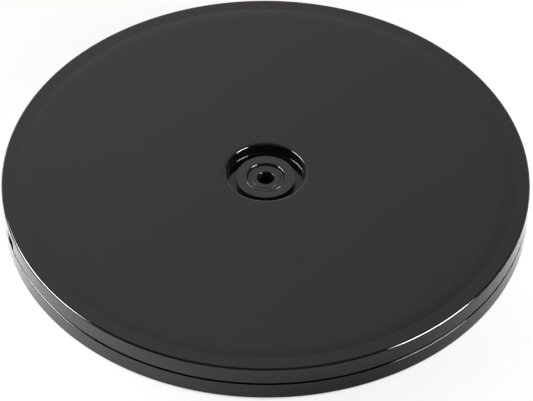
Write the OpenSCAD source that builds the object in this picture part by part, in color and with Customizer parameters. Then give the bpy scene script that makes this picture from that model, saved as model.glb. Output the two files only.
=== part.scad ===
// Turntable display stand: a round top plate that turns on a ring of steel balls over a matching base.
// Both plates are moulded shells. A hollow pivot comes up through the base, runs in the sleeve of the
// top plate and is closed by a lock ring in the well at the centre. Millimetres, Z up, table at Z = 0.

/* [Plates] */
// Diameter of the top plate and of the base
plate_d = 254; // [220:1:320]
// Height of the top plate's rim
top_rim_h = 9.1; // [8.5:0.1:14]
// Rise of the top face above the flat land along its rim
face_rise = 0.3; // [0.1:0.05:0.6]
// Width of that land
land_w = 7.4; // [4:0.1:10]
// Width of the slope from the land up to the face
slope_w = 3.8; // [2:0.1:14]
// Height of the base's rim
base_rim_h = 8.7; // [7.5:0.1:12]
// Open seam between the two rims
seam_gap = 1.2; // [0.4:0.1:2]
// Thickness of the top plate's face
top_face_t = 3.0; // [2:0.1:4]
// Thickness of the base's floor
base_floor_t = 2.6; // [2:0.1:4]
// Thickness of both rims
rim_wall = 3.0; // [2:0.1:5]
// Rounding of the top plate's upper edge
top_edge_r = 1.1; // [0.4:0.1:1.8]
// Rounding of the two edges at the seam
seam_edge_r = 0.2; // [0.1:0.1:1]
// Rounding of the base's lower edge
base_edge_r = 0.3; // [0.2:0.1:1.2]

/* [Stiffening ribs] */
// Number of radial ribs inside each plate
rib_count = 12; // [6:1:24]
// Thickness of a rib
rib_t = 1.8; // [1.2:0.1:3]
// Depth of a rib below the top plate's face
top_rib_h = 3.0; // [1.5:0.1:4]

/* [Pry notch] */
// Direction of the notch in the top plate's rim at rest, counter-clockwise from +X
notch_angle = 198.6; // [0:0.2:359.8]
// Width of the notch along the rim
notch_w = 8.5; // [4:0.5:16]
// Height of the notch above the top plate's seam edge
notch_h = 5; // [2:0.1:5.4]

/* [Hub] */
// Diameter of the hole through the pivot
bore_d = 8.4; // [6:0.1:12]
// Wall of the hollow pivot
pivot_wall = 2.9; // [2:0.1:5]
// Width of the lock ring around the pivot
lock_ring_w = 1.75; // [1.2:0.05:4]
// Height of the lock ring
lock_ring_h = 2.1; // [1.2:0.05:3]
// Height of the pivot's end above the lock ring
pivot_end_h = 0.2; // [0.1:0.05:0.6]
// Thickness of the washer under the lock ring
washer_t = 0.6; // [0.4:0.1:1.2]
// Wall of the sleeve around the lock ring
sleeve_wall = 5.2; // [2:0.1:8]
// Depth of the lock ring's recess in the sleeve
recess_depth = 3.8; // [3.2:0.1:5]
// Drop of the sleeve's end below the top face
sleeve_drop = 3.2; // [1:0.1:4]
// Width of the bead around the recess, on the sleeve's end
bead_w = 0.85; // [0.6:0.05:1.5]
// Height of that bead
bead_h = 0.2; // [0.1:0.05:0.4]
// Rounding of the bead's edge towards the recess
recess_edge_r = 0.5; // [0.2:0.05:0.6]
// Length of the sleeve below the well's floor
sleeve_tail = 3.9; // [3:0.1:5]
// Free width of the well around the sleeve
well_gap = 5.0; // [3:0.1:12]
// Depth of the well below the top face
well_depth = 6.1; // [4.5:0.1:6.5]
// Wall of the well
well_wall = 2.5; // [1.5:0.1:4]
// Thickness of the well's floor
well_floor_t = 2.2; // [1.5:0.1:3]
// Rounding of the well's upper edge
well_edge_r = 0.7; // [0.3:0.1:2]
// Rounding of the corner between the well's wall and its floor
well_corner_r = 0.3; // [0.2:0.1:1.4]
// Rounding of the small edges in the hub
hub_edge_r = 0.25; // [0.1:0.05:0.3]
// Width of the pivot's flange below the base
flange_w = 4.9; // [3:0.1:8]
// Thickness of that flange
flange_t = 2.0; // [1.2:0.1:2.4]
// Recess of the flange behind the base's underside
flange_inset = 0.4; // [0.2:0.1:0.8]
// Wall of the base's boss around the flange
boss_wall = 3.2; // [2:0.1:6]

/* [Ball bearing] */
// Diameter of a ball
ball_d = 6.35; // [5:0.05:8]
// Number of balls
ball_count = 24; // [8:1:32]
// Diameter of the circle of ball centres
race_d = 160; // [120:1:180]
// Depth of the groove in which the balls run
groove_depth = 1.2; // [0.6:0.1:1.5]
// Land beside the groove
race_land = 2.7; // [1.5:0.1:5]
// Width of the cage's ring
cage_w = 8.0; // [5:0.1:12]
// Thickness of the cage
cage_t = 2.4; // [1.6:0.1:2.8]
// Wall of the cage around a ball
cage_wall = 1.8; // [1.2:0.1:2.6]

/* [Feet] */
// Number of rubber feet
foot_count = 6; // [3:1:8]
// Direction of the first foot, counter-clockwise from +X
foot_turn = 225; // [0:1:359]
// Diameter of a foot
foot_d = 20; // [10:0.5:28]
// Height of a foot below the base
foot_proud = 1.0; // [0.5:0.1:2]
// Depth of a foot's pocket in the base
foot_sink = 1.0; // [0.5:0.1:1.4]
// Distance from the rim to a foot
foot_inset = 7; // [4:0.5:20]
// Rounding of a foot's lower edge
foot_edge_r = 0.3; // [0.1:0.05:0.45]

/* [Clearances] */
// Running clearance of the pivot in the sleeve, on the radius
pivot_run = 0.05; // [0.02:0.01:0.1]
// Clearance of pieces pushed onto or into each other, on the radius
push_fit = 0.02; // [0.01:0.01:0.05]
// Clearance of the lock ring in its recess, on the radius
lock_ring_run = 0.25; // [0.15:0.05:0.6]
// Clearance of the washer round the pivot and over its seat
washer_run = 0.1; // [0.05:0.05:0.15]
// Clearance of the flange and of the feet in their pockets, on the radius
pocket_play = 0.25; // [0.1:0.05:0.5]
// Clearance of a ball in its grooves
ball_run = 0.15; // [0.1:0.01:0.2]
// Clearance of a ball in its cage
cage_play = 0.2; // [0.1:0.05:0.4]
// Height of the cage above the lower race
cage_lift = 0.3; // [0.2:0.05:0.6]
// Gap between the base's boss and the sleeve
hub_gap = 1.0; // [0.6:0.1:2]

/* [Hidden] */
$fn = 96;
// Overlap that lets joined shapes of one piece run into each other
weld = 0.5;

// Heights of the rims, the floor and the face
base_z = foot_proud;
base_top_z = base_z + base_rim_h;
skirt_z = base_top_z + seam_gap;
land_z = skirt_z + top_rim_h;
top_z = land_z + face_rise;
floor_z = base_z + base_floor_t;
ceiling_z = top_z - top_face_t;

// Radii from the hole outwards to the rim
bore_r = bore_d / 2;
pivot_r = bore_r + pivot_wall;
lock_ring_r = pivot_r + lock_ring_w;
recess_r = lock_ring_r + lock_ring_run;
bead_r = recess_r + bead_w;
sleeve_r = recess_r + sleeve_wall;
well_r = sleeve_r + well_gap;
flange_r = pivot_r + flange_w;
flange_pocket_r = flange_r + pocket_play;
boss_r = flange_pocket_r + boss_wall;
plate_r = plate_d / 2;

// Heights in the hub
well_floor_z = top_z - well_depth;
web_z = well_floor_z - well_floor_t;
sleeve_end_z = web_z - sleeve_tail;
sleeve_z = top_z - sleeve_drop;
bead_z = sleeve_z + bead_h;
seat_z = sleeve_z - recess_depth;
washer_z = seat_z + washer_run;
lock_ring_z = washer_z + washer_t;
pivot_top_z = lock_ring_z + lock_ring_h + pivot_end_h;
flange_z = base_z + flange_inset;
flange_seat_z = flange_z + flange_t;
boss_z = sleeve_end_z - hub_gap;

// The bearing lies midway between the floor and the face
race_r = race_d / 2;
ball_r = ball_d / 2;
ball_z = (floor_z + ceiling_z) / 2;
groove_r = ball_r + ball_run;
race_half_w = groove_r + race_land;
lower_race_z = ball_z - groove_r + groove_depth;
upper_race_z = ball_z + groove_r - groove_depth;
cage_z = lower_race_z + cage_lift;
cage_pocket_r = ball_r + cage_play;

// Feet
foot_r = foot_d / 2;
foot_ring_r = plate_r - foot_inset - foot_r;
foot_pocket_z = base_z + foot_sink;

plastic_black = "#202022";
nylon_white = "#e6e2d6";
steel = "#c9ccd0";
rubber_grey = "#3a3a3c";

function ball_angle(i) = (i - 1) * 360 / ball_count;
function foot_angle(i) = foot_turn + (i - 1) * 360 / foot_count;
function ball_name(i) = str("ball_", i < 10 ? "0" : "", i);
function foot_name(i) = str("foot_", i);

// Rectangle of a turned section, between two radii and two heights
module band(r_from, r_to, z_from, z_to) {
    translate([r_from, z_from])
        square([r_to - r_from, z_to - z_from]);
}

// What lies between a square corner at r, z and its rounding. The corner points to side_r, side_z. It
// is taken off an outer edge and added in an inner corner
module rounding(r, z, radius, side_r, side_z) {
    translate([r - side_r * radius, z - side_z * radius])
        difference() {
            translate([side_r < 0 ? -2 * radius : 0, side_z < 0 ? -2 * radius : 0])
                square(2 * radius);
            circle(r = radius);
        }
}

// What the slope and the land along the rim take off the top plate's section
module land_cut() {
    land_r = plate_r - land_w;
    polygon([
        [land_r - slope_w, top_z],
        [land_r, land_z],
        [plate_r + weld, land_z],
        [plate_r + weld, top_z + weld],
        [land_r - slope_w, top_z + weld]
    ]);
}

// Radial ribs between two radii, running into the walls at both ends
module ribs(r_from, r_to, z_from, z_to) {
    for (i = [1:rib_count])
        rotate([0, 0, i * 360 / rib_count])
            translate([r_from - weld, -rib_t / 2, z_from])
                cube([r_to - r_from + 2 * weld, rib_t, z_to - z_from]);
}

// The two rows of ribs, inside and outside a race
module rib_rows(hub_r, z_from, z_to) {
    ribs(hub_r, race_r - race_half_w, z_from, z_to);
    ribs(race_r + race_half_w, plate_r - rim_wall, z_from, z_to);
}

// Top plate in section: face, rim, well, sleeve and upper race
module platter_section() {
    difference() {
        union() {
            band(well_r, plate_r, ceiling_z, top_z);
            band(plate_r - rim_wall, plate_r, skirt_z, top_z);
            band(well_r, well_r + well_wall, web_z, top_z);
            band(pivot_r + pivot_run, well_r + well_wall, web_z, well_floor_z);
            rounding(well_r, well_floor_z, well_corner_r, 1, -1);
            band(pivot_r + pivot_run, sleeve_r, sleeve_end_z, sleeve_z);
            band(pivot_r + pivot_run, bead_r, sleeve_end_z, bead_z);
            band(race_r - race_half_w, race_r + race_half_w, upper_race_z, top_z - top_face_t / 2);
        }
        band(0, recess_r, seat_z, top_z);
        translate([race_r, ball_z])
            circle(r = groove_r);
        land_cut();
        rounding(plate_r, land_z, top_edge_r, 1, 1);
        rounding(plate_r, skirt_z, seam_edge_r, 1, -1);
        rounding(well_r, top_z, well_edge_r, -1, 1);
        rounding(sleeve_r, sleeve_z, hub_edge_r, 1, 1);
        rounding(bead_r, bead_z, bead_h, 1, 1);
        rounding(recess_r, bead_z, recess_edge_r, -1, 1);
    }
}

// Notch in the top plate's rim, open towards the seam
module pry_notch() {
    rotate([0, 0, notch_angle])
        translate([plate_r - rim_wall - weld, -notch_w / 2, skirt_z - weld])
            cube([rim_wall + 2 * weld, notch_w, notch_h + weld]);
}

// Turning top plate, a moulded shell that is open below
module platter() {
    color(plastic_black)
        difference() {
            union() {
                rotate_extrude()
                    platter_section();
                rotate([0, 0, notch_angle + 180 / rib_count])
                    rib_rows(well_r + well_wall, ceiling_z - top_rib_h, top_z - top_face_t / 2);
            }
            pry_notch();
        }
}

// Base in section: floor, rim, boss with the pivot's seat and lower race
module base_section() {
    difference() {
        union() {
            band(pivot_r + push_fit, plate_r, base_z, floor_z);
            band(plate_r - rim_wall, plate_r, base_z, base_top_z);
            band(pivot_r + push_fit, boss_r, base_z, boss_z);
            band(race_r - race_half_w, race_r + race_half_w, base_z + base_floor_t / 2, lower_race_z);
        }
        band(0, flange_pocket_r, 0, flange_seat_z);
        translate([race_r, ball_z])
            circle(r = groove_r);
        rounding(plate_r, base_top_z, seam_edge_r, 1, 1);
        rounding(plate_r, base_z, base_edge_r, 1, -1);
    }
}

// Pockets for the feet in the base's underside
module foot_pockets() {
    for (i = [1:foot_count])
        rotate([0, 0, foot_angle(i)])
            translate([foot_ring_r, 0, 0])
                cylinder(r = foot_r + pocket_play, h = foot_pocket_z);
}

// Standing base, a moulded shell that is open above
module base() {
    color(plastic_black)
        difference() {
            union() {
                rotate_extrude()
                    base_section();
                rib_rows(boss_r, base_z + base_floor_t / 2, boss_z);
            }
            foot_pockets();
        }
}

// Hollow pivot, pushed up through the base until its flange seats
module pivot() {
    color(plastic_black)
        rotate_extrude()
            difference() {
                union() {
                    band(bore_r, pivot_r, flange_z, pivot_top_z);
                    band(bore_r, flange_r, flange_z, flange_seat_z);
                }
                rounding(pivot_r, pivot_top_z, pivot_end_h, 1, 1);
                rounding(bore_r, pivot_top_z, hub_edge_r, -1, 1);
                rounding(flange_r, flange_z, hub_edge_r, 1, -1);
            }
}

// Lock ring, pushed onto the pivot's end to hold the top plate down
module lock_ring() {
    color(plastic_black)
        rotate_extrude()
            difference() {
                band(pivot_r + push_fit, lock_ring_r, lock_ring_z, lock_ring_z + lock_ring_h);
                rounding(lock_ring_r, lock_ring_z + lock_ring_h, hub_edge_r, 1, 1);
            }
}

// Washer between the lock ring and the floor of its recess
module thrust_washer() {
    color(nylon_white)
        rotate_extrude()
            band(pivot_r + washer_run, lock_ring_r, washer_z, washer_z + washer_t);
}

// Cage that keeps the balls apart, a ring with a boss around each pocket
module ball_cage() {
    color(nylon_white)
        difference() {
            union() {
                rotate_extrude()
                    band(race_r - cage_w / 2, race_r + cage_w / 2, cage_z, cage_z + cage_t);
                for (i = [1:ball_count])
                    at_ball(i)
                        cylinder(r = cage_pocket_r + cage_wall, h = cage_t);
            }
            for (i = [1:ball_count])
                at_ball(i)
                    translate([0, 0, -weld])
                        cylinder(r = cage_pocket_r, h = cage_t + 2 * weld);
        }
}

// Puts a shape of the cage at the place of one ball
module at_ball(i) {
    rotate([0, 0, ball_angle(i)])
        translate([race_r, 0, cage_z])
            children();
}

// One bearing ball, between the two races
module ball(i) {
    color(steel)
        rotate([0, 0, ball_angle(i)])
            translate([race_r, 0, ball_z])
                sphere(r = ball_r);
}

// One rubber foot, glued into its pocket
module foot(i) {
    color(rubber_grey)
        rotate([0, 0, foot_angle(i)])
            translate([foot_ring_r, 0, 0])
                rotate_extrude()
                    difference() {
                        band(0, foot_r, 0, foot_pocket_z);
                        rounding(foot_r, 0, foot_edge_r, 1, -1);
                    }
}

platter();
base();
pivot();
lock_ring();
thrust_washer();
ball_cage();
for (i = [1:ball_count])
    ball(i);
for (i = [1:foot_count])
    foot(i);
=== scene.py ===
import math

import bpy
import numpy as np
from mathutils import Matrix


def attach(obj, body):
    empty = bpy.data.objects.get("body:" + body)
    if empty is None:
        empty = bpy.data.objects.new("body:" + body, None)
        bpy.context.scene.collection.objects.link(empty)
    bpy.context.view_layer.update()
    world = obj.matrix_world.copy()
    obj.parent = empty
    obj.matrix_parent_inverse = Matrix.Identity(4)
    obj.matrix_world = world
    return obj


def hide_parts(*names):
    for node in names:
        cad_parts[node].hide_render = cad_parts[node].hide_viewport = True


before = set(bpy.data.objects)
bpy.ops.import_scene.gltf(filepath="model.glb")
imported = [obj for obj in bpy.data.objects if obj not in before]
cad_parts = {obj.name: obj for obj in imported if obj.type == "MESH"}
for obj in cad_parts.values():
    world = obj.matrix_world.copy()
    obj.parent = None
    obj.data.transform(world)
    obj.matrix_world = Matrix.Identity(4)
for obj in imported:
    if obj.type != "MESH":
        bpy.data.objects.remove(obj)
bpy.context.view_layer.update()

# Top plate
# One injection moulding of black ABS, open below: a face with a sunken well and a sleeve at its centre, a
# rim that hangs down, a race for the balls and two rows of ribs. A notch in the rim lets it be pried off.
MM = 0.001
plate_r = 127.0
land_z = 20.0
face_z = 20.3
land_r = 119.6
slope_r = 115.8
skirt_z = 10.9
rim_wall = 3.0
ceiling_z = 17.3
well_r = 19.3
well_wall = 2.5
well_floor_z = 14.2
web_z = 12.0
sleeve_r = 14.3
sleeve_z = 17.1
sleeve_end_z = 8.1
sleeve_bore_r = 7.15
recess_r = 9.1
seat_z = 13.3
bead_r = 9.95
bead_z = 17.3
race_r = 80.0
race_half_w = 6.025
upper_race_z = 12.575
ball_z = 10.45
groove_r = 3.325
rib_count = 12
rib_t = 1.8
top_rib_h = 3.0
# A rib runs this far into the walls and the face that carry it
rib_root = 0.5
# Roundings, first those that show
top_edge_r = 1.1
seam_edge_r = 0.2
land_bend_r = 12.0
slope_bend_r = 80.0
well_edge_r = 0.6
well_ease_w = 1.2
well_ease_h = 0.21
well_ease_r = 5.8
well_corner_r = 0.3
sleeve_foot_r = 0.15
sleeve_edge_r = 0.05
bead_foot_r = 0.03
bead_edge_r = 0.14
recess_edge_r = 0.5
seat_corner_r = 0.1
bore_edge_r = 0.2
sleeve_end_r = 0.4
web_fillet_r = 0.5
rim_fillet_r = 0.8
rim_inner_r = 0.3
race_fillet_r = 0.5
race_edge_r = 0.3
groove_edge_r = 0.05
notch_angle = 198.6
notch_w = 8.5
notch_h = 5.0
# A cutter stands out this far past the surface that it cuts
cut_past = 1.0


def rounded(corners, steps=8, support=0.08, closed=True):
    """A section of straight stretches with round corners, from rows of radius, height and rounding.

    Where the section turns by t, the arc starts rounding * tan(t / 2) before the corner. From there a point
    at turn a lies rounding * sin(a) ahead and rounding * (1 - cos(a)) to the inner side. A support point just
    outside each end of an arc keeps the flats flat under smooth shading. An open section keeps its two ends
    as they are.
    """
    rows = np.array(corners, float)
    point, rounding = rows[:, :2], rows[:, 2:]
    ahead = np.roll(point, -1, axis=0) - point
    ahead /= np.linalg.norm(ahead, axis=1, keepdims=True)
    behind = np.roll(ahead, 1, axis=0)
    cross = behind[:, :1] * ahead[:, 1:] - behind[:, 1:] * ahead[:, :1]
    turn = np.arctan2(np.abs(cross), (behind * ahead).sum(1, keepdims=True))
    inner = np.sign(cross) * np.stack([-behind[:, 1], behind[:, 0]], axis=1)
    start = point - behind * rounding * np.tan(turn / 2)
    end = point + ahead * rounding * np.tan(turn / 2)
    a = turn[:, :, None] * np.linspace(0, 1, steps + 1)[None, :, None]
    arc = start[:, None] + rounding[:, :, None] * (
        np.sin(a) * behind[:, None] + (1 - np.cos(a)) * inner[:, None])
    before = (start - behind * support)[:, None]
    after = (end + ahead * support)[:, None]
    loop = np.concatenate([before, arc, after], axis=1)
    if closed:
        return loop.reshape(-1, 2)
    return np.concatenate([point[:1], loop[1:-1].reshape(-1, 2), point[-1:]])


def ball_groove(r, z, radius, land):
    """Corners of a round groove about r, z that is cut into a land, in the order of rising r.

    The tangents at the groove's two edges meet in one corner, whose rounding is the groove's own arc.
    """
    half = math.sqrt(radius ** 2 - (land - z) ** 2)
    apex = land + half ** 2 / (land - z)
    return [(r - half, land, groove_edge_r), (r, apex, radius), (r + half, land, groove_edge_r)]


def turned(section, around=300, closed=True):
    """A section carried once round Z: x = r cos t, y = r sin t. An open section's two ends get flat caps."""
    t = np.linspace(0, 2 * np.pi, around, endpoint=False)
    r, z = section[:, :1], section[:, 1:]
    points = np.stack([r * np.cos(t), r * np.sin(t), z + 0 * t], axis=2).reshape(-1, 3)
    here = np.arange(len(points)).reshape(len(section), around)
    beside = np.roll(here, -1, axis=1)
    quads = np.stack([here, beside, np.roll(beside, -1, axis=0), np.roll(here, -1, axis=0)], axis=2)
    if closed:
        return points, [quads.reshape(-1, 4)]
    return points, [quads[:-1].reshape(-1, 4), here[:1, ::-1], here[-1:]]


def upright(outlines, z_from, z_to):
    """Upright blocks on counter-clockwise outlines: each outline at both heights, its sides, two ends."""
    count, n = outlines.shape[:2]
    height = np.broadcast_to(np.array([z_from, z_to])[None, :, None, None], (count, 2, n, 1))
    points = np.concatenate([np.repeat(outlines[:, None], 2, axis=1), height], axis=3).reshape(-1, 3)
    here = np.arange(len(points)).reshape(count, 2, n)
    low, high = here[:, 0], here[:, 1]
    sides = np.stack([low, np.roll(low, -1, axis=1), np.roll(high, -1, axis=1), high], axis=2)
    return points, [sides.reshape(-1, 4), low[:, ::-1], high]


def spokes(count, r_from, r_to, width, first=0.0):
    """Rectangles that run out from the centre, evenly spaced: one rectangle turned by each angle."""
    t = np.radians(first + np.arange(count) * 360 / count)[:, None]
    x, y = np.array([[r_from, r_to, r_to, r_from], [-width / 2, -width / 2, width / 2, width / 2]])
    return np.stack([x * np.cos(t) - y * np.sin(t), x * np.sin(t) + y * np.cos(t)], axis=2)


def shade(mesh):
    """Smooth shading that stays sharp where the surface turns by more than 35 degrees."""
    mesh.shade_smooth()
    mesh.set_sharp_from_angle(angle=math.radians(35))


def piece(name, *shells):
    """One mesh object from closed shells of points in millimetres and blocks of faces."""
    first = np.cumsum([0] + [len(points) for points, _ in shells])
    faces = [face for start, (_, blocks) in zip(first, shells)
             for block in blocks for face in (block + start).tolist()]
    mesh = bpy.data.meshes.new(name)
    mesh.from_pydata(np.concatenate([points for points, _ in shells]) * MM, [], faces)
    shade(mesh)
    new = bpy.data.objects.new(name, mesh)
    bpy.context.scene.collection.objects.link(new)
    return new


def cut(blank, cutter):
    """Takes a closed cutter off a piece for good and removes the cutter."""
    change = blank.modifiers.new("cut", "BOOLEAN")
    change.operation = "DIFFERENCE"
    change.solver = "EXACT"
    change.object = cutter
    bpy.context.view_layer.update()
    shape = blank.evaluated_get(bpy.context.evaluated_depsgraph_get())
    mesh = bpy.data.meshes.new_from_object(shape)
    blank.modifiers.clear()
    blank.data = mesh
    shade(mesh)
    bpy.data.objects.remove(cutter)


def linear(hex_colour):
    """sRGB hex to the linear RGBA that shaders take."""
    s = np.array([int(hex_colour[i:i + 2], 16) for i in (1, 3, 5)]) / 255
    return (*np.where(s <= 0.04045, s / 12.92, ((s + 0.055) / 1.055) ** 2.4), 1.0)


def node(tree, kind, inputs=(), **settings):
    """Adds a node, sets its properties and its inputs. An input given as a socket is linked."""
    new = tree.nodes.new(kind)
    for key, value in settings.items():
        setattr(new, key, value)
    for key, value in dict(inputs).items():
        if isinstance(value, bpy.types.NodeSocket):
            tree.links.new(value, new.inputs[key])
        else:
            new.inputs[key].default_value = value
    return new


def per_metre(size_mm):
    """Texture scale for a feature of that size."""
    return 1 / (size_mm * MM)


# Noise lies mostly between these two
noise_low, noise_high = 0.3, 0.7


def moulded(name, colour, smooth, rough, cloud_mm, grain_mm, grain_depth):
    """A moulded surface: gloss that drifts in clouds between two roughnesses, over a fine grain in relief."""
    new = bpy.data.materials.new(name)
    new.use_nodes = True
    tree = new.node_tree
    shader = tree.nodes["Principled BSDF"]
    place = node(tree, "ShaderNodeTexCoord").outputs["Object"]
    cloud = node(tree, "ShaderNodeTexNoise", {"Vector": place, "Scale": per_metre(cloud_mm), "Detail": 4.0})
    gloss = node(tree, "ShaderNodeMapRange", {
        "Value": cloud.outputs["Fac"], "From Min": noise_low, "From Max": noise_high,
        "To Min": smooth, "To Max": rough})
    grain = node(tree, "ShaderNodeTexNoise", {"Vector": place, "Scale": per_metre(grain_mm), "Detail": 2.0})
    relief = node(tree, "ShaderNodeBump", {"Height": grain.outputs["Fac"], "Distance": grain_depth * MM})
    tree.links.new(gloss.outputs["Result"], shader.inputs["Roughness"])
    tree.links.new(relief.outputs["Normal"], shader.inputs["Normal"])
    shader.inputs["Base Color"].default_value = linear(colour)
    return new, tree, shader, place


# ABS from a polished tool: a deep black that mirrors the room a little softly, with a cloudy drift in that
# gloss. The polish lines of the tool are far finer than the grain that is drawn here. The sleeve's end is
# given a lighter grey than the rest, a painted sheen.
abs_black = "#101010"
# Lighter grey for a painted sheen on the sleeve's end
abs_painted_sheen = "#222222"
sheen_fade = 0.3
black_abs, tree, shader, place = moulded(
    "black_abs", abs_black, smooth=0.05, rough=0.09, cloud_mm=40, grain_mm=0.6, grain_depth=0.0004)
shader.inputs["IOR"].default_value = 1.5
flat = node(tree, "ShaderNodeVectorMath", {0: place, 1: (1, 1, 0)}, operation="MULTIPLY")
reach = node(tree, "ShaderNodeVectorMath", {0: flat.outputs["Vector"]}, operation="LENGTH")
# Painted sheen: inside the sleeve's radius the colour turns to the lighter grey
sheen_mask = node(tree, "ShaderNodeMapRange", {
    "Value": reach.outputs["Value"], "From Min": (sleeve_r + sheen_fade) * MM, "From Max": sleeve_r * MM})
tone = node(tree, "ShaderNodeMixRGB", {
    "Fac": sheen_mask.outputs["Result"], "Color1": linear(abs_black), "Color2": linear(abs_painted_sheen)})
tree.links.new(tone.outputs["Color"], shader.inputs["Base Color"])

platter = piece(
    "platter_shell",
    turned(rounded([
        (sleeve_bore_r, sleeve_end_z, bore_edge_r), (sleeve_r, sleeve_end_z, sleeve_end_r),
        (sleeve_r, web_z, web_fillet_r), (well_r + well_wall, web_z, web_fillet_r),
        (well_r + well_wall, ceiling_z, rim_fillet_r), (race_r - race_half_w, ceiling_z, race_fillet_r),
        (race_r - race_half_w, upper_race_z, race_edge_r),
        *ball_groove(race_r, ball_z, groove_r, upper_race_z),
        (race_r + race_half_w, upper_race_z, race_edge_r), (race_r + race_half_w, ceiling_z, race_fillet_r),
        (plate_r - rim_wall, ceiling_z, rim_fillet_r), (plate_r - rim_wall, skirt_z, rim_inner_r),
        (plate_r, skirt_z, seam_edge_r), (plate_r, land_z, top_edge_r), (land_r, land_z, land_bend_r),
        (slope_r, face_z, slope_bend_r), (well_r + well_ease_w, face_z, well_ease_r),
        (well_r, face_z - well_ease_h, well_edge_r), (well_r, well_floor_z, well_corner_r),
        (sleeve_r, well_floor_z, sleeve_foot_r), (sleeve_r, sleeve_z, sleeve_edge_r),
        (bead_r, sleeve_z, bead_foot_r), (bead_r, bead_z, bead_edge_r), (recess_r, bead_z, recess_edge_r),
        (recess_r, seat_z, seat_corner_r), (sleeve_bore_r, seat_z, bore_edge_r)])))
cut(platter, piece("pry_notch", upright(
    spokes(1, plate_r - rim_wall - cut_past, plate_r + cut_past, notch_w, notch_angle),
    skirt_z - cut_past, skirt_z + notch_h)))
top_rib_angle = notch_angle + 180 / rib_count
platter_ribs = piece(
    "platter_ribs",
    *[upright(spokes(rib_count, r_from - rib_root, r_to + rib_root, rib_t, top_rib_angle),
              ceiling_z - top_rib_h, ceiling_z + rib_root)
      for r_from, r_to in ((well_r + well_wall, race_r - race_half_w),
                           (race_r + race_half_w, plate_r - rim_wall))])
for moulding in (platter, platter_ribs):
    moulding.data.materials.clear()
    moulding.data.materials.append(black_abs)
    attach(moulding, "platter")
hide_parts("platter")

# Base
# The matching lower moulding of black ABS, open above: floor, rim, a boss for the pivot, the lower race and
# ribs. Six pockets below take the feet. Moulding has left a stretch of the rim's edge raised and rounder.
base_z = 1.0
base_top_z = 9.7
floor_z = 3.6
base_edge_r = 0.3
flange_pocket_r = 12.25
flange_seat_z = 3.4
boss_r = 15.45
boss_z = 7.1
base_bore_r = 7.12
lower_race_z = 8.325
burr_angle = math.radians(216.5)
burr_half = math.radians(8)
burr_rise = 0.3
burr_r = 0.65
pocket_fillet_r = 0.2
pocket_edge_r = 0.3
boss_fillet_r = 0.6
boss_edge_r = 0.3
foot_count = 6
foot_angle = 225.0
foot_ring_r = 110.0
foot_pocket_r = 10.25
foot_pocket_z = 2.0


def base_section(rim_z, edge_r):
    """The base's section with its rim's outer edge at that height and with that rounding."""
    return rounded([
        (base_bore_r, flange_seat_z, seat_corner_r), (flange_pocket_r, flange_seat_z, pocket_fillet_r),
        (flange_pocket_r, base_z, pocket_edge_r), (plate_r, base_z, base_edge_r), (plate_r, rim_z, edge_r),
        (plate_r - rim_wall, base_top_z, rim_inner_r), (plate_r - rim_wall, floor_z, rim_fillet_r),
        (race_r + race_half_w, floor_z, race_fillet_r), (race_r + race_half_w, lower_race_z, race_edge_r),
        *ball_groove(race_r, ball_z, groove_r, lower_race_z)[::-1],
        (race_r - race_half_w, lower_race_z, race_edge_r), (race_r - race_half_w, floor_z, race_fillet_r),
        (boss_r, floor_z, boss_fillet_r), (boss_r, boss_z, boss_edge_r), (base_bore_r, boss_z, bore_edge_r)])


# Both shells have the same points, and the raised one takes over along the burr as exp(-(angle / half) ** 4)
points, blocks = turned(base_section(base_top_z, seam_edge_r))
raised, _ = turned(base_section(base_top_z + burr_rise, burr_r))
off_burr = np.arctan2(points[:, 1], points[:, 0]) % (2 * np.pi) - burr_angle
points += np.exp(-(off_burr / burr_half) ** 4)[:, None] * (raised - points)
base = piece("base_shell", (points, blocks))
foot_turn = np.radians(foot_angle + np.arange(foot_count) * 360 / foot_count)
foot_middle = foot_ring_r * np.stack([np.cos(foot_turn), np.sin(foot_turn)], axis=1)
once_round = np.linspace(0, 2 * np.pi, 96, endpoint=False)
pocket = foot_pocket_r * np.stack([np.cos(once_round), np.sin(once_round)], axis=1)
cut(base, piece("foot_pockets", upright(foot_middle[:, None] + pocket[None], 0.0, foot_pocket_z)))
base_ribs = piece(
    "base_ribs",
    *[upright(spokes(rib_count, r_from - rib_root, r_to + rib_root, rib_t), floor_z - rib_root, boss_z)
      for r_from, r_to in ((boss_r, race_r - race_half_w), (race_r + race_half_w, plate_r - rim_wall))])
for moulding in (base, base_ribs):
    moulding.data.materials.clear()
    moulding.data.materials.append(black_abs)
    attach(moulding, "base")
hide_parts("base")

# Pivot and lock ring
# A hollow post of black acetal, pushed up through the base until its flange seats, and a ring of the same
# that is pushed onto its end in the recess of the sleeve. Both are turned from rod.
bore_r = 4.2
pivot_r = 7.1
flange_r = 12.0
flange_z = 1.4
pivot_top_z = 16.3
lock_ring_r = 8.85
lock_ring_bore_r = 7.12
lock_ring_z = 14.0
lock_ring_top_z = 16.1
flange_edge_r = 0.3
flange_seat_r = 0.2
post_edge_r = 0.1
mouth_edge_r = 0.25
ring_lower_r = 0.2
ring_upper_r = 0.25
ring_bore_r = 0.1

# Turned acetal: a waxy greyish black with the rings that the tool leaves round the axis, and painted shade
# that makes each groove darker than the ridge beside it. The real feed is a few times finer and would not
# show in the picture.
tool_feed = 1.1
tool_mark_h = 0.004
acetal_groove_shade, acetal_ridge = "#0e0e0e", "#303030"
black_acetal, tree, shader, place = moulded(
    "black_acetal_turned", acetal_ridge,
    smooth=0.12, rough=0.18, cloud_mm=6, grain_mm=0.3, grain_depth=0.0004)
shader.inputs["IOR"].default_value = 1.48
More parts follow.
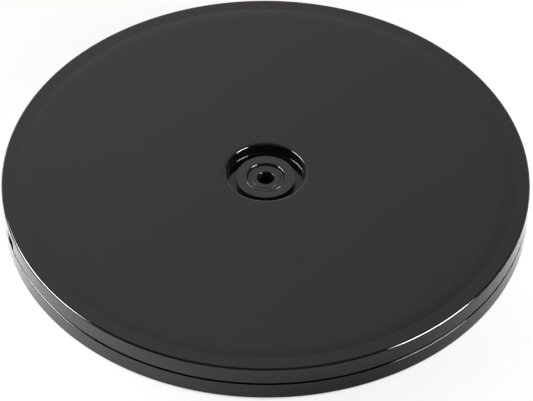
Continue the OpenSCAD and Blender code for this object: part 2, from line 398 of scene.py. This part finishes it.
# A wave of the ring kind repeats every 2 pi / 20 at scale 1
rings = node(tree, "ShaderNodeTexWave", {"Vector": place, "Scale": per_metre(tool_feed) * 2 * math.pi / 20},
             wave_type="RINGS", rings_direction="Z")
marks = node(tree, "ShaderNodeBump", {
    "Height": rings.outputs["Fac"], "Distance": tool_mark_h * MM,
    "Normal": shader.inputs["Normal"].links[0].from_socket})
tree.links.new(marks.outputs["Normal"], shader.inputs["Normal"])
# Painted shade: the colour darkens into each groove of the rings
tone = node(tree, "ShaderNodeMixRGB", {
    "Fac": rings.outputs["Fac"], "Color1": linear(acetal_groove_shade), "Color2": linear(acetal_ridge)})
tree.links.new(tone.outputs["Color"], shader.inputs["Base Color"])

pivot = piece("pivot_post", turned(rounded([
    (bore_r, flange_z, flange_edge_r), (flange_r, flange_z, flange_edge_r),
    (flange_r, flange_seat_z, flange_seat_r), (pivot_r, flange_seat_z, post_edge_r),
    (pivot_r, pivot_top_z, post_edge_r), (bore_r, pivot_top_z, mouth_edge_r)]), around=192))
lock_ring = piece("hub_lock_ring", turned(rounded([
    (lock_ring_bore_r, lock_ring_z, ring_bore_r), (lock_ring_r, lock_ring_z, ring_lower_r),
    (lock_ring_r, lock_ring_top_z, ring_upper_r),
    (lock_ring_bore_r, lock_ring_top_z, ring_bore_r)]), around=192))
for turning, name in ((pivot, "pivot"), (lock_ring, "lock_ring")):
    turning.data.materials.append(black_acetal)
    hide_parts(name)
    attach(turning, "base")

# Thrust washer and ball cage
# Both are moulded from natural nylon. The washer lies under the lock ring, and the cage is a ring with a
# pocket for each ball that floats between the two races. Their CAD shapes are right and stay.

# Natural nylon: creamy white and waxy, and a little light goes through its thin walls.
nylon_glow_mm = 1.0
natural_nylon, _, shader, _ = moulded(
    "natural_nylon", "#e2dccb", smooth=0.38, rough=0.52, cloud_mm=8, grain_mm=0.4, grain_depth=0.004)
shader.inputs["IOR"].default_value = 1.53
shader.inputs["Subsurface Weight"].default_value = 0.2
shader.inputs["Subsurface Scale"].default_value = nylon_glow_mm * MM
for name in ("thrust_washer", "ball_cage"):
    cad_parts[name].data.materials.clear()
    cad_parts[name].data.materials.append(natural_nylon)

# Balls
# Twenty-four bearing balls, ground and lapped from hardened steel. They lie in the cage's pockets and roll
# in the grooves of the two races.

# Lapped steel: a bright mirror, with a slight haze where the balls have run.
bearing_steel, _, shader, _ = moulded(
    "lapped_bearing_steel", "#c8cacc", smooth=0.06, rough=0.14, cloud_mm=2, grain_mm=0.2, grain_depth=0.0002)
shader.inputs["Metallic"].default_value = 1.0
for name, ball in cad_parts.items():
    if name.startswith("ball_") and name != "ball_cage":
        ball.data.materials.clear()
        ball.data.materials.append(bearing_steel)

# Feet
# Six round pads of dark grey rubber, each moulded with three grip rings below and glued into a pocket of the
# base, so that the stand keeps still while the top turns.
foot_r = 10.0
foot_edge_r = 0.3
# The middle of a foot is flat to this radius
foot_flat_r = 1.0
grip_at = (3.0, 5.4, 7.8)
grip_w = 1.0
grip_depth = 0.4
grip_edge_r = 0.12
foot_top_r = 0.1

# Moulded rubber: a dull dark grey with hardly any gloss, and a grain like fine sand.
grip_rubber, _, shader, _ = moulded(
    "moulded_rubber", "#262627", smooth=0.7, rough=0.88, cloud_mm=5, grain_mm=0.35, grain_depth=0.01)
shader.inputs["IOR"].default_value = 1.52

foot_section = rounded([
    (foot_flat_r, 0.0, 0.0),
    *[(r + side * grip_w / 2, z, grip_edge_r) for r in grip_at
      for side, z in ((-1, 0.0), (-1, grip_depth), (1, grip_depth), (1, 0.0))],
    (foot_r, 0.0, foot_edge_r), (foot_r, foot_pocket_z, foot_top_r), (foot_flat_r, foot_pocket_z, 0.0)],
    steps=4, support=0.05, closed=False)
for number, middle in enumerate(foot_middle, 1):
    points, blocks = turned(foot_section, around=72, closed=False)
    foot = piece(f"foot_pad_{number}", (points + (*middle, 0.0), blocks))
    foot.data.materials.append(grip_rubber)
    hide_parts(f"foot_{number}")
    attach(foot, "base")

# Floor
# The stand is on a sheet of white paper. The camera sees it white, with a narrow dark line where the stand
# comes close to it: a painted contact shadow from an occlusion mask, under which the lit paper's own shade
# shows. The stand itself mirrors the paper as the lamps light it.
paper_half = 4.0
paper_white = "#aaaaaa"
# Share of plain white in what the camera sees, and the reach of the painted contact shadow
white_share = 0.86
contact_reach = 1.6
contact_dark, contact_gone = 0.3, 0.56
corner = paper_half * np.array([[-1, -1, 0], [1, -1, 0], [1, 1, 0], [-1, 1, 0]])
sheet_mesh = bpy.data.meshes.new("paper_floor")
sheet_mesh.from_pydata(corner, [], [(0, 1, 2, 3)])
floor = bpy.data.objects.new("paper_floor", sheet_mesh)
bpy.context.scene.collection.objects.link(floor)
paper = bpy.data.materials.new("matt_white_paper")
paper.use_nodes = True
tree = paper.node_tree
tree.nodes.clear()
rays = node(tree, "ShaderNodeLightPath")
# Painted contact shadow: near the stand, occlusion takes the plain white away
near = node(tree, "ShaderNodeAmbientOcclusion", {"Distance": contact_reach * MM}, samples=8)
clear = node(tree, "ShaderNodeMapRange", {
    "Value": near.outputs["AO"], "From Min": contact_dark, "From Max": contact_gone, "To Max": white_share})
share = node(tree, "ShaderNodeMath", {
    0: rays.outputs["Is Camera Ray"], 1: clear.outputs["Result"]}, operation="MULTIPLY")
matt = node(tree, "ShaderNodeBsdfDiffuse", {"Color": linear(paper_white)})
plain = node(tree, "ShaderNodeEmission", {"Color": linear("#ffffff"), "Strength": 1.0})
both = node(tree, "ShaderNodeMixShader", {0: share.outputs[0], 1: matt.outputs[0], 2: plain.outputs[0]})
node(tree, "ShaderNodeOutputMaterial", {"Surface": both.outputs[0]})
sheet_mesh.materials.append(paper)

# Lamps
# A softbox on either side lights the stand. In each a hotter strip shows only in gloss and draws the bright
# lines along the edges. Two small lamps brighten the paper beside the stand, which its rim mirrors.
box_distance = 1.2
strip_distance = 1.15


def softbox(name, azimuth, elevation, distance, width, height, radiance):
    """A rectangular area light that faces the origin. Its power is radiance * pi * area."""
    light = bpy.data.lights.new(name, "AREA")
    light.shape = "RECTANGLE"
    light.size = width
    light.size_y = height
    light.energy = radiance * math.pi * width * height
    lamp = bpy.data.objects.new(name, light)
    bpy.context.scene.collection.objects.link(lamp)
    lamp.visible_camera = False
    lamp.matrix_world = (Matrix.Rotation(math.radians(azimuth + 90), 4, "Z")
                         @ Matrix.Rotation(math.radians(90 - elevation), 4, "X")
                         @ Matrix.Translation((0, 0, distance)))
    return lamp


softbox("left_box", azimuth=170, elevation=32, distance=box_distance, width=0.85, height=0.34, radiance=14.0)
softbox("right_box", azimuth=-22, elevation=27, distance=box_distance, width=0.62, height=0.34, radiance=14.0)
left_strip = softbox(
    "left_strip", azimuth=177, elevation=32, distance=strip_distance, width=0.72, height=0.30, radiance=38.0)
right_strip = softbox(
    "right_strip", azimuth=-25, elevation=27, distance=strip_distance, width=0.58, height=0.42, radiance=60.0)
left_strip.visible_diffuse = False
right_strip.visible_diffuse = False
sweep_height = 0.12
paper_only = bpy.data.collections.new("paper_only")
paper_only.objects.link(floor)
for name, x, y in (("left_sweep", -0.21, -0.085), ("right_sweep", 0.22, 0.05)):
    sweep = softbox(
        name, azimuth=0, elevation=90, distance=sweep_height, width=0.10, height=0.18, radiance=20.5)
    sweep.matrix_world = Matrix.Translation((x, y, sweep_height))
    sweep.light_linking.receiver_collection = paper_only

# Room
# A pale wall stands behind the stand, fades out to both sides and upwards, and is what the top face mirrors.
# The rest of the room is dim, a little less so straight in front, and the camera sees plain white.
room_dim = 0.1
wall_left, wall_right = 0.74, 0.50
sweep_glow = 0.6
# The wall's level is multiplied by these at its foot and at the height where it is darkest
wall_foot, wall_head = 1.7, 0.7
head_rise = 0.9
front_glow = 0.3
# Where the wall is gone and where it is whole, to a side and upwards
side_gone, side_whole = math.radians(58), math.radians(44)
head_gone, head_whole = math.sin(math.radians(76)), math.sin(math.radians(54))
# Where the wall turns from its left to its right level, and where the glow at its foot starts and is full
left_end, right_start = math.radians(-4), math.radians(12)
glow_start, glow_full = math.sin(math.radians(28)), math.sin(math.radians(8))
# How far towards the front the room starts to lighten, and where it is lightest
front_start, front_full = -0.7, -0.95

world = bpy.data.worlds.new("room")
world.use_nodes = True
bpy.context.scene.world = world
tree = world.node_tree
tree.nodes.clear()
rays = node(tree, "ShaderNodeLightPath")
way = node(tree, "ShaderNodeSeparateXYZ", {0: node(tree, "ShaderNodeTexCoord").outputs["Generated"]})
rise = way.outputs["Z"]
turn = node(tree, "ShaderNodeMath", {
    0: way.outputs["X"], 1: way.outputs["Y"]}, operation="ARCTAN2").outputs["Value"]
wall = 1.0
for value, gone, whole in (
        (turn, side_gone, side_whole), (turn, -side_gone, -side_whole), (rise, head_gone, head_whole)):
    share = node(tree, "ShaderNodeMapRange", {
        "Value": value, "From Min": gone, "From Max": whole}, interpolation_type="SMOOTHSTEP")
    wall = node(tree, "ShaderNodeMath", {
        0: wall, 1: share.outputs["Result"]}, operation="MULTIPLY").outputs["Value"]
side = node(tree, "ShaderNodeMapRange", {
    "Value": turn, "From Min": left_end, "From Max": right_start,
    "To Min": wall_left, "To Max": wall_right}).outputs["Result"]
depth = node(tree, "ShaderNodeMapRange", {
    "Value": rise, "From Min": 0.0, "From Max": head_rise,
    "To Min": wall_foot, "To Max": wall_head}).outputs["Result"]
glow = node(tree, "ShaderNodeMapRange", {
    "Value": rise, "From Min": glow_start, "From Max": glow_full,
    "To Max": sweep_glow}, interpolation_type="SMOOTHSTEP").outputs["Result"]
pale = node(tree, "ShaderNodeMath", {0: side, 1: depth, 2: glow}, operation="MULTIPLY_ADD").outputs["Value"]
front = node(tree, "ShaderNodeMapRange", {
    "Value": way.outputs["Y"], "From Min": front_start, "From Max": front_full,
    "To Min": room_dim, "To Max": front_glow}, interpolation_type="SMOOTHSTEP").outputs["Result"]
level = node(tree, "ShaderNodeMath", {0: wall, 1: pale, 2: front}, operation="MULTIPLY_ADD")
dim = node(tree, "ShaderNodeBackground", {"Color": linear("#ffffff"), "Strength": level.outputs["Value"]})
plain = node(tree, "ShaderNodeBackground", {"Color": linear("#ffffff"), "Strength": 1.0})
both = node(tree, "ShaderNodeMixShader", {
    0: rays.outputs["Is Camera Ray"], 1: dim.outputs[0], 2: plain.outputs[0]})
node(tree, "ShaderNodeOutputWorld", {"Surface": both.outputs[0]})

# Camera
# A long lens looks down at the stand from the front. The picture is 533 by 401, and the middle of the base's
# underside lies at target_px in it.
picture_w, picture_h = 533, 401
elevation = math.radians(44.845)
distance = 1.34
focal_px = 2757.2
target_px = (265.63, 200.32)
roll = math.radians(0.262)
lens = bpy.data.cameras.new("camera")
lens.sensor_width = 36.0
lens.lens = focal_px * lens.sensor_width / picture_w
lens.shift_x = (picture_w / 2 - target_px[0]) / picture_w
lens.shift_y = (target_px[1] - picture_h / 2) / picture_w
camera = bpy.data.objects.new("camera", lens)
bpy.context.scene.collection.objects.link(camera)
camera.matrix_world = (
    Matrix.Translation((0, -distance * math.cos(elevation), base_z * MM + distance * math.sin(elevation)))
    @ Matrix.Rotation(math.pi / 2 - elevation, 4, "X")
    @ Matrix.Rotation(roll, 4, "Z"))
bpy.context.scene.camera = camera
bpy.context.scene.view_settings.view_transform = "Standard"
